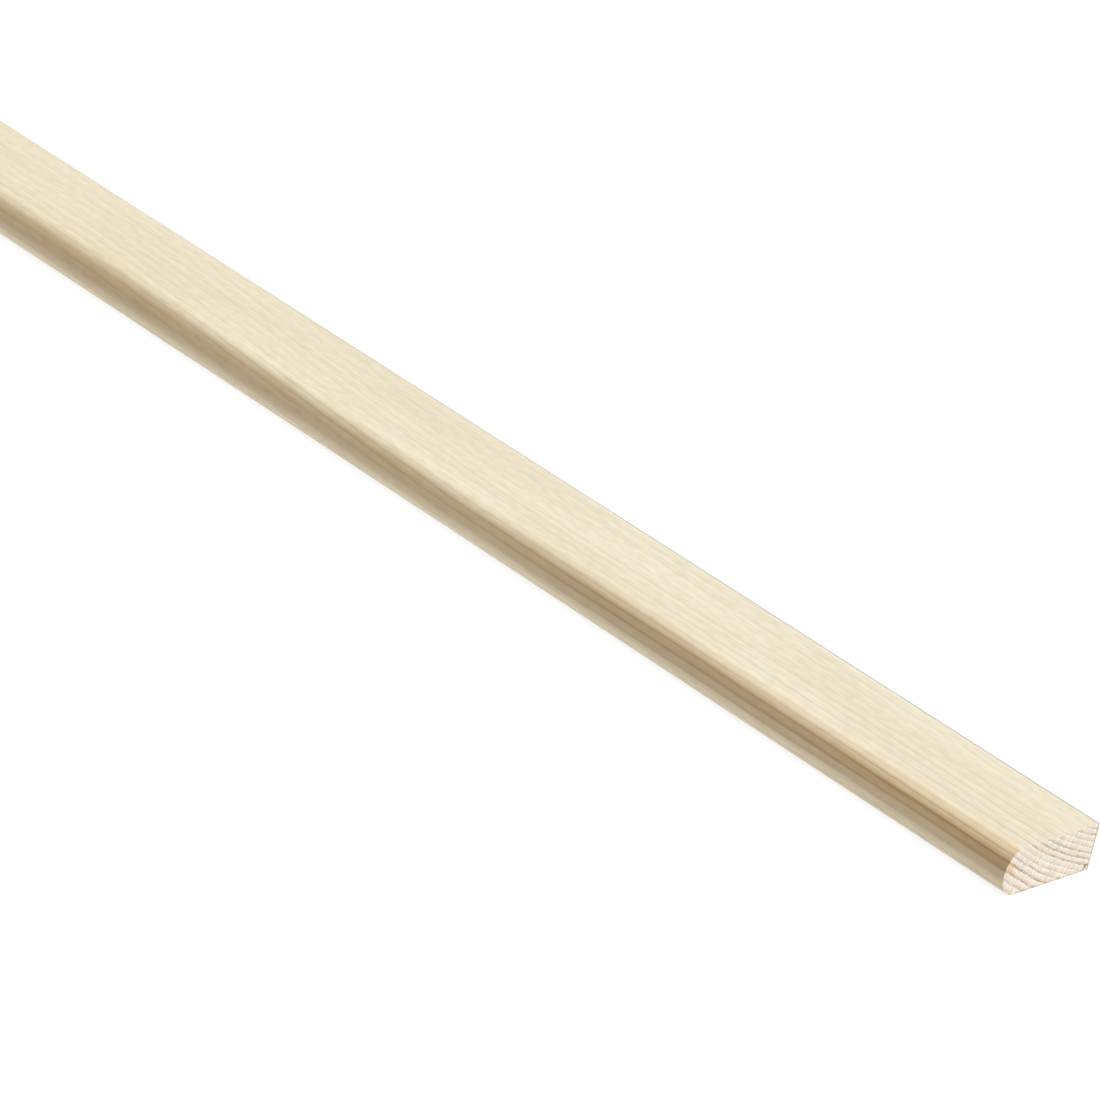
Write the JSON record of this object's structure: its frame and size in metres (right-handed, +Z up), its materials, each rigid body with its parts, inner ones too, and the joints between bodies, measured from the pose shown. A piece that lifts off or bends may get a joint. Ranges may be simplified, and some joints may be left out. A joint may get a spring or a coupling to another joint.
{
  "type": "parting bead",
  "caption": "Straight pine parting bead with flat wide faces, a rounded nose edge and a square edge, set in a groove to part the sliding sashes of a box window.",
  "frame": {"origin": "middle of the lower wide face, at the centre of the bead's box in plan", "axes": "+X along the bead's length, +Y from the rounded nose towards the square edge that sits in the groove, +Z up out of the upper wide face through the 8 mm thickness"},
  "size_m": [2.4, 0.02, 0.008],
  "materials": {
    "pine": "planed, unfinished"
  },
  "bodies": {
    "root": {"parting_bead": "pine"}
  },
  "joints": []
}
